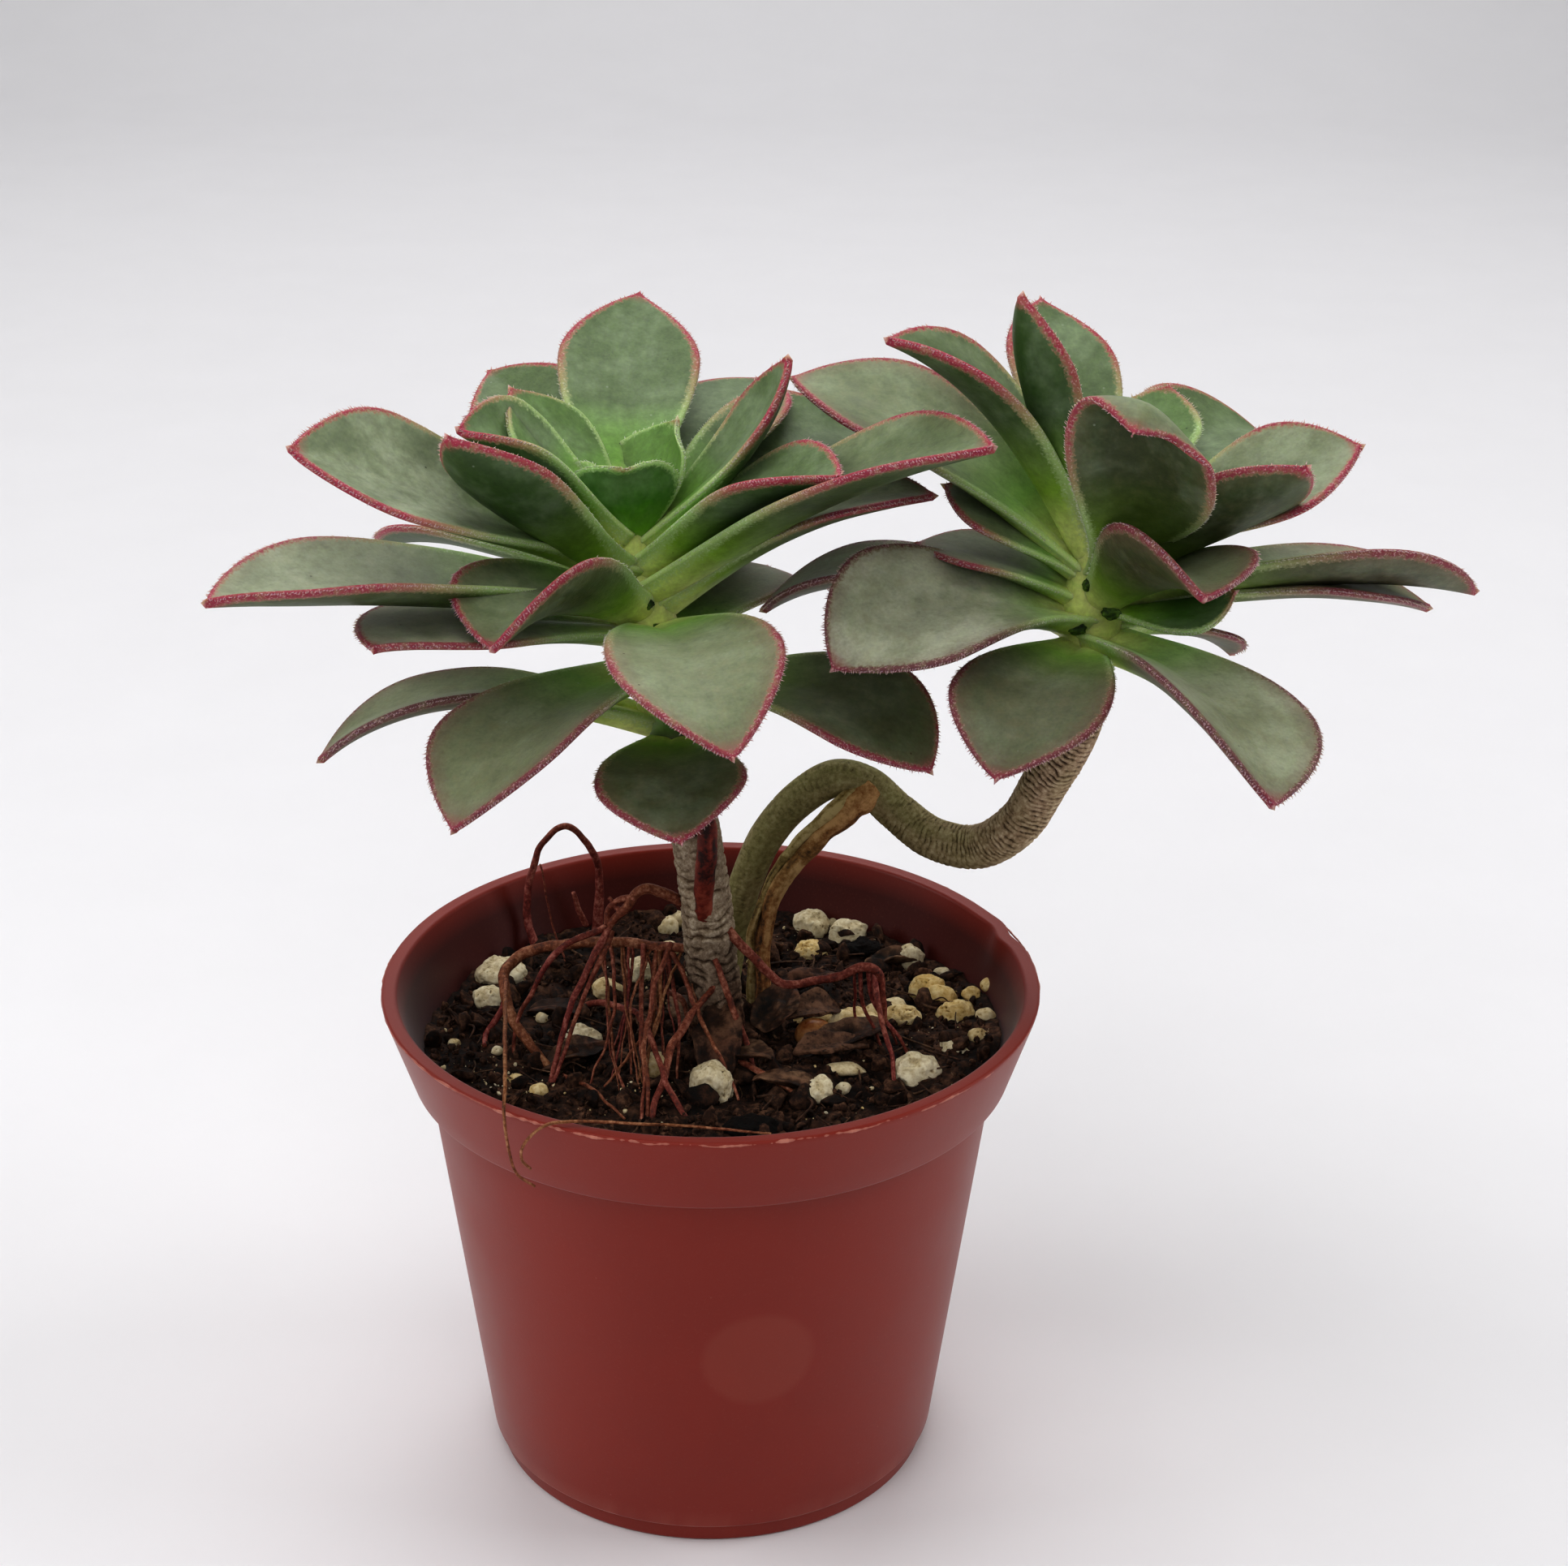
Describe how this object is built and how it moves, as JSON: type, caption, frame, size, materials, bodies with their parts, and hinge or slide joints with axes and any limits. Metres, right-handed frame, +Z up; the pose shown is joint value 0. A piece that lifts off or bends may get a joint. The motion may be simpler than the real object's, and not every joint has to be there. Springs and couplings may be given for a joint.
{
  "type": "potted succulent",
  "caption": "Two-headed aeonium hybrid: loose rosettes of fleshy, red-edged leaves on bare stems with aerial roots, planted in a round tapered nursery pot of peat and pumice",
  "frame": {"origin": "the centre of the pot's underside, on the plane it stands on", "axes": "+Z up along the pot's axis; +X to the right and -Y towards the viewer as the picture shows the plant, so the second rosette leans out to +X"},
  "size_m": [0.1521, 0.0876, 0.1579],
  "materials": {
    "pot_plastic": "thin moulded polypropylene, terracotta coloured, satin, dusty and slightly mottled",
    "peat": "moist dark peat with crumbs and fibres",
    "bark": "grey-tan corky bark with leaf scars, and red-brown aerial roots",
    "olive_bark": "smooth olive bark that turns grey, ringed and peeling towards the rosette",
    "leaf": "waxy grey-green leaf with magenta ciliate margins",
    "root": "wiry red-brown aerial root",
    "dead_leaf": "withered, papery, dark brown leaf",
    "pumice": "off-white, pitted volcanic grit"
  },
  "bodies": {
    "root": {"pot": "pot_plastic", "soil": "peat", "main_stem": "bark", "side_stem": "olive_bark", "left_rosette": "leaf", "right_rosette": "leaf", "root_loop_back": "root", "root_loop_front": "root", "dead_leaf_1": "dead_leaf", "dead_leaf_2": "dead_leaf", "pumice_1": "pumice", "pumice_2": "pumice", "pumice_3": "pumice", "pumice_4": "pumice", "pumice_5": "pumice", "pumice_6": "pumice", "pumice_7": "pumice", "pumice_8": "pumice", "pumice_9": "pumice", "pumice_10": "pumice", "pumice_11": "pumice", "pumice_12": "pumice", "pumice_13": "pumice", "pumice_14": "pumice", "pumice_15": "pumice", "pumice_16": "pumice", "peat_lump_1": "peat", "peat_lump_2": "peat"}
  },
  "joints": []
}
